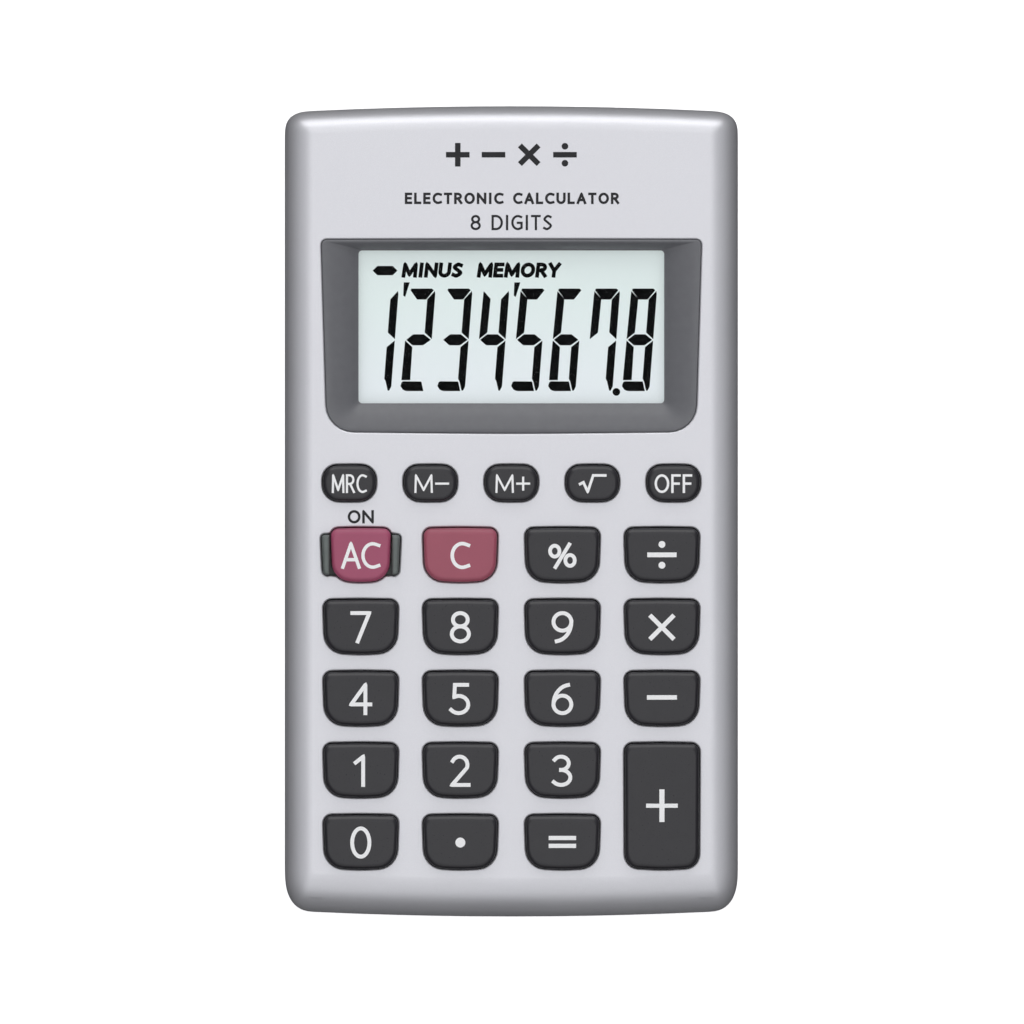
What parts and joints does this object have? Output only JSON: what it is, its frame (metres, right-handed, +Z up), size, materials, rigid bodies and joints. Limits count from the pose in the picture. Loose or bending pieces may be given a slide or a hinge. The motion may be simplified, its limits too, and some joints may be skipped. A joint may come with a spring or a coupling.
{
  "type": "pocket calculator",
  "caption": "Wedge-shaped pocket calculator with a liquid-crystal display in a sloping bezel, domed keys that press in, a guarded power key and a sliding battery door.",
  "frame": {"origin": "centre of the case's plan, on the flat back", "axes": "+X to the right of the keypad, +Y towards the display end along the length, +Z up out of the back; the face slopes, so its normal leans towards the keypad end"},
  "size_m": [0.071, 0.127, 0.0188],
  "materials": {
    "case_silver": "satin silver lacquer on moulded plastic",
    "case_back": "fine textured dark moulded plastic",
    "bezel_grey": "satin dark grey",
    "window_clear": "clear polished acrylic",
    "window_print": "matt black adhesive film",
    "guard_grey": "satin grey-green",
    "key_charcoal": "smooth satin, moulded",
    "key_rose": "smooth satin, moulded",
    "screw_black": "black oxide",
    "steel": "zinc plated",
    "silicone": "translucent grey silicone rubber",
    "carbon": "matt conductive carbon",
    "board": "green solder mask on laminate",
    "resin": "black resin",
    "capacitor_sleeve": "shrunk vinyl sleeve",
    "ceramic": "fired ceramic with tinned ends",
    "lcd_film": "polarising film",
    "lcd_glass": "thin float glass",
    "lcd_reflector": "satin reflective film",
    "zebra": "layered carbon and silicone",
    "holder_white": "plain moulded plastic",
    "cell_jacket": "printed shrink sleeve over steel",
    "nickel": "nickel-plated spring steel",
    "lead_red": "vinyl insulation",
    "lead_black": "vinyl insulation"
  },
  "bodies": {
    "case": {"front_case": "case_silver", "rear_case": "case_back", "display_bezel": "bezel_grey", "display_window": "window_clear", "window_tape": "window_print", "power_key_guard": "guard_grey", "case_screws": "screw_black", "board_screws": "steel", "dome_sheet": "silicone", "carbon_pills": "carbon", "main_board": "board", "contact_pads": "carbon", "processor_glob": "resin", "buffer_capacitor": "capacitor_sleeve", "chip_capacitors": "ceramic", "chip_resistors": "resin", "lcd_front_polariser": "lcd_film", "lcd_front_glass": "lcd_glass", "lcd_rear_glass": "lcd_glass", "lcd_reflector": "lcd_reflector", "zebra_strip": "zebra", "lcd_holder": "holder_white", "battery_cell": "cell_jacket", "cell_nub": "nickel", "positive_contact": "nickel", "negative_contact": "nickel", "negative_spring": "nickel", "positive_lead": "lead_red", "negative_lead": "lead_black"},
    "door": {"battery_door": "case_back"},
    "key_mrc": {"key_mrc": "key_charcoal"},
    "key_m_minus": {"key_m_minus": "key_charcoal"},
    "key_m_plus": {"key_m_plus": "key_charcoal"},
    "key_sqrt": {"key_sqrt": "key_charcoal"},
    "key_off": {"key_off": "key_charcoal"},
    "key_ac": {"key_ac": "key_rose"},
    "key_c": {"key_c": "key_rose"},
    "key_percent": {"key_percent": "key_charcoal"},
    "key_divide": {"key_divide": "key_charcoal"},
    "key_7": {"key_7": "key_charcoal"},
    "key_8": {"key_8": "key_charcoal"},
    "key_9": {"key_9": "key_charcoal"},
    "key_multiply": {"key_multiply": "key_charcoal"},
    "key_4": {"key_4": "key_charcoal"},
    "key_5": {"key_5": "key_charcoal"},
    "key_6": {"key_6": "key_charcoal"},
    "key_minus": {"key_minus": "key_charcoal"},
    "key_1": {"key_1": "key_charcoal"},
    "key_2": {"key_2": "key_charcoal"},
    "key_3": {"key_3": "key_charcoal"},
    "key_0": {"key_0": "key_charcoal"},
    "key_point": {"key_point": "key_charcoal"},
    "key_equals": {"key_equals": "key_charcoal"},
    "key_plus": {"key_plus": "key_charcoal"}
  },
  "joints": [
    {"name": "key_mrc_press", "type": "slide", "parent": "case", "child": "key_mrc", "axis": [0, 0.061, -0.9981], "range_m": [0, 0.0012], "stiffness_N_per_m": 600, "springref_m": -0.0003, "deforming": ["dome_sheet", "carbon_pills"]},
    {"name": "key_m_minus_press", "type": "slide", "parent": "case", "child": "key_m_minus", "axis": [0, 0.061, -0.9981], "range_m": [0, 0.0012], "stiffness_N_per_m": 600, "springref_m": -0.0003},
    {"name": "key_m_plus_press", "type": "slide", "parent": "case", "child": "key_m_plus", "axis": [0, 0.061, -0.9981], "range_m": [0, 0.0012], "stiffness_N_per_m": 600, "springref_m": -0.0003},
    {"name": "key_sqrt_press", "type": "slide", "parent": "case", "child": "key_sqrt", "axis": [0, 0.061, -0.9981], "range_m": [0, 0.0012], "stiffness_N_per_m": 600, "springref_m": -0.0003},
    {"name": "key_off_press", "type": "slide", "parent": "case", "child": "key_off", "axis": [0, 0.061, -0.9981], "range_m": [0, 0.0012], "stiffness_N_per_m": 600, "springref_m": -0.0003},
    {"name": "key_ac_press", "type": "slide", "parent": "case", "child": "key_ac", "axis": [0, 0.061, -0.9981], "range_m": [0, 0.0012], "stiffness_N_per_m": 600, "springref_m": -0.0003},
    {"name": "key_c_press", "type": "slide", "parent": "case", "child": "key_c", "axis": [0, 0.061, -0.9981], "range_m": [0, 0.0012], "stiffness_N_per_m": 600, "springref_m": -0.0003},
    {"name": "key_percent_press", "type": "slide", "parent": "case", "child": "key_percent", "axis": [0, 0.061, -0.9981], "range_m": [0, 0.0012], "stiffness_N_per_m": 600, "springref_m": -0.0003},
    {"name": "key_divide_press", "type": "slide", "parent": "case", "child": "key_divide", "axis": [0, 0.061, -0.9981], "range_m": [0, 0.0012], "stiffness_N_per_m": 600, "springref_m": -0.0003},
    {"name": "key_7_press", "type": "slide", "parent": "case", "child": "key_7", "axis": [0, 0.061, -0.9981], "range_m": [0, 0.0012], "stiffness_N_per_m": 600, "springref_m": -0.0003},
    {"name": "key_8_press", "type": "slide", "parent": "case", "child": "key_8", "axis": [0, 0.061, -0.9981], "range_m": [0, 0.0012], "stiffness_N_per_m": 600, "springref_m": -0.0003},
    {"name": "key_9_press", "type": "slide", "parent": "case", "child": "key_9", "axis": [0, 0.061, -0.9981], "range_m": [0, 0.0012], "stiffness_N_per_m": 600, "springref_m": -0.0003},
    {"name": "key_multiply_press", "type": "slide", "parent": "case", "child": "key_multiply", "axis": [0, 0.061, -0.9981], "range_m": [0, 0.0012], "stiffness_N_per_m": 600, "springref_m": -0.0003},
    {"name": "key_4_press", "type": "slide", "parent": "case", "child": "key_4", "axis": [0, 0.061, -0.9981], "range_m": [0, 0.0012], "stiffness_N_per_m": 600, "springref_m": -0.0003},
    {"name": "key_5_press", "type": "slide", "parent": "case", "child": "key_5", "axis": [0, 0.061, -0.9981], "range_m": [0, 0.0012], "stiffness_N_per_m": 600, "springref_m": -0.0003},
    {"name": "key_6_press", "type": "slide", "parent": "case", "child": "key_6", "axis": [0, 0.061, -0.9981], "range_m": [0, 0.0012], "stiffness_N_per_m": 600, "springref_m": -0.0003},
    {"name": "key_minus_press", "type": "slide", "parent": "case", "child": "key_minus", "axis": [0, 0.061, -0.9981], "range_m": [0, 0.0012], "stiffness_N_per_m": 600, "springref_m": -0.0003},
    {"name": "key_1_press", "type": "slide", "parent": "case", "child": "key_1", "axis": [0, 0.061, -0.9981], "range_m": [0, 0.0012], "stiffness_N_per_m": 600, "springref_m": -0.0003},
    {"name": "key_2_press", "type": "slide", "parent": "case", "child": "key_2", "axis": [0, 0.061, -0.9981], "range_m": [0, 0.0012], "stiffness_N_per_m": 600, "springref_m": -0.0003},
    {"name": "key_3_press", "type": "slide", "parent": "case", "child": "key_3", "axis": [0, 0.061, -0.9981], "range_m": [0, 0.0012], "stiffness_N_per_m": 600, "springref_m": -0.0003},
    {"name": "key_0_press", "type": "slide", "parent": "case", "child": "key_0", "axis": [0, 0.061, -0.9981], "range_m": [0, 0.0012], "stiffness_N_per_m": 600, "springref_m": -0.0003},
    {"name": "key_point_press", "type": "slide", "parent": "case", "child": "key_point", "axis": [0, 0.061, -0.9981], "range_m": [0, 0.0012], "stiffness_N_per_m": 600, "springref_m": -0.0003},
    {"name": "key_equals_press", "type": "slide", "parent": "case", "child": "key_equals", "axis": [0, 0.061, -0.9981], "range_m": [0, 0.0012], "stiffness_N_per_m": 600, "springref_m": -0.0003},
    {"name": "key_plus_press", "type": "slide", "parent": "case", "child": "key_plus", "axis": [0, 0.061, -0.9981], "range_m": [0, 0.0012], "stiffness_N_per_m": 600, "springref_m": -0.0003},
    {"name": "battery_door_slide", "type": "slide", "parent": "case", "child": "door", "axis": [0, 1, 0], "range_m": [0, 0.018]}
  ]
}
